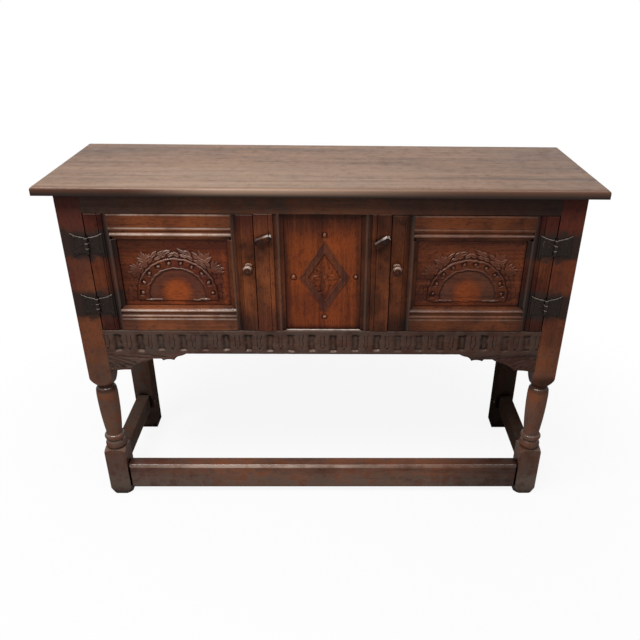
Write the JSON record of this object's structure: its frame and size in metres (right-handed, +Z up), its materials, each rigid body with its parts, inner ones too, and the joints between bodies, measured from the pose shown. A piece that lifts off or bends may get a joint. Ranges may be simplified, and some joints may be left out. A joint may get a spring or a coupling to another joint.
{
  "type": "kitchen dresser",
  "caption": "Low dark oak cupboard on turned front legs with stretchers: panelled doors carved with arches, a lozenge panel between them, butterfly hinges, knobs and turn-buttons.",
  "frame": {"origin": "floor level under the centre of the bounding box", "axes": "+X to the right as seen from the front, +Y from the doors to the back, +Z up"},
  "size_m": [1.22, 0.396, 0.85],
  "materials": {
    "top_oak": "waxed, faded and worn",
    "frame_oak": "dark waxed oak",
    "carved_oak": "dark waxed oak, carved",
    "inside_oak": "unpolished oak",
    "black_iron": "blackened iron"
  },
  "bodies": {
    "carcase": {"back_boards": "inside_oak", "back_bottom_rail": "inside_oak", "back_top_rail": "inside_oak", "centre_panel": "carved_oak", "door_stops": "inside_oak", "floor_bearers": "inside_oak", "floor_boards": "inside_oak", "frame_pegs": "inside_oak", "frieze_rail": "frame_oak", "front_left_leg": "frame_oak", "front_right_leg": "frame_oak", "front_stretcher": "frame_oak", "front_top_rail": "frame_oak", "glue_blocks": "inside_oak", "left_hinge_pins": "black_iron", "left_muntin": "frame_oak", "left_post_hinge_leaves": "black_iron", "left_post_hinge_nails": "black_iron", "left_side_bottom_rail": "frame_oak", "left_side_panel": "frame_oak", "left_side_top_rail": "frame_oak", "left_stretcher": "frame_oak", "left_turn_button_screw": "black_iron", "rear_left_leg": "frame_oak", "rear_right_leg": "frame_oak", "right_hinge_pins": "black_iron", "right_muntin": "frame_oak", "right_post_hinge_leaves": "black_iron", "right_post_hinge_nails": "black_iron", "right_side_bottom_rail": "frame_oak", "right_side_panel": "frame_oak", "right_side_top_rail": "frame_oak", "right_stretcher": "frame_oak", "right_turn_button_screw": "black_iron", "top_front_board": "top_oak", "top_middle_board": "top_oak", "top_rear_board": "top_oak"},
    "left_door": {"left_door_bottom_rail": "frame_oak", "left_door_hinge_leaves": "black_iron", "left_door_hinge_nails": "black_iron", "left_door_hinge_stile": "frame_oak", "left_door_knob": "frame_oak", "left_door_lock_stile": "frame_oak", "left_door_panel": "carved_oak", "left_door_pegs": "inside_oak", "left_door_top_rail": "frame_oak"},
    "right_door": {"right_door_bottom_rail": "frame_oak", "right_door_hinge_leaves": "black_iron", "right_door_hinge_nails": "black_iron", "right_door_hinge_stile": "frame_oak", "right_door_knob": "frame_oak", "right_door_lock_stile": "frame_oak", "right_door_panel": "carved_oak", "right_door_pegs": "inside_oak", "right_door_top_rail": "frame_oak"},
    "left_button": {"left_turn_button": "frame_oak"},
    "right_button": {"right_turn_button": "frame_oak"}
  },
  "joints": [
    {"name": "left_door_hinge", "type": "hinge", "parent": "carcase", "child": "left_door", "pos_m": [-0.52, -0.1744, 0.64], "axis": [0, 0, -1], "range_deg": [0, 165]},
    {"name": "right_door_hinge", "type": "hinge", "parent": "carcase", "child": "right_door", "pos_m": [0.52, -0.1744, 0.64], "axis": [0, 0, 1], "range_deg": [0, 165]},
    {"name": "left_button_turn", "type": "hinge", "parent": "carcase", "child": "left_button", "pos_m": [-0.136, -0.176, 0.727], "axis": [0, -1, 0], "continuous": true},
    {"name": "right_button_turn", "type": "hinge", "parent": "carcase", "child": "right_button", "pos_m": [0.136, -0.176, 0.727], "axis": [0, -1, 0], "continuous": true}
  ]
}
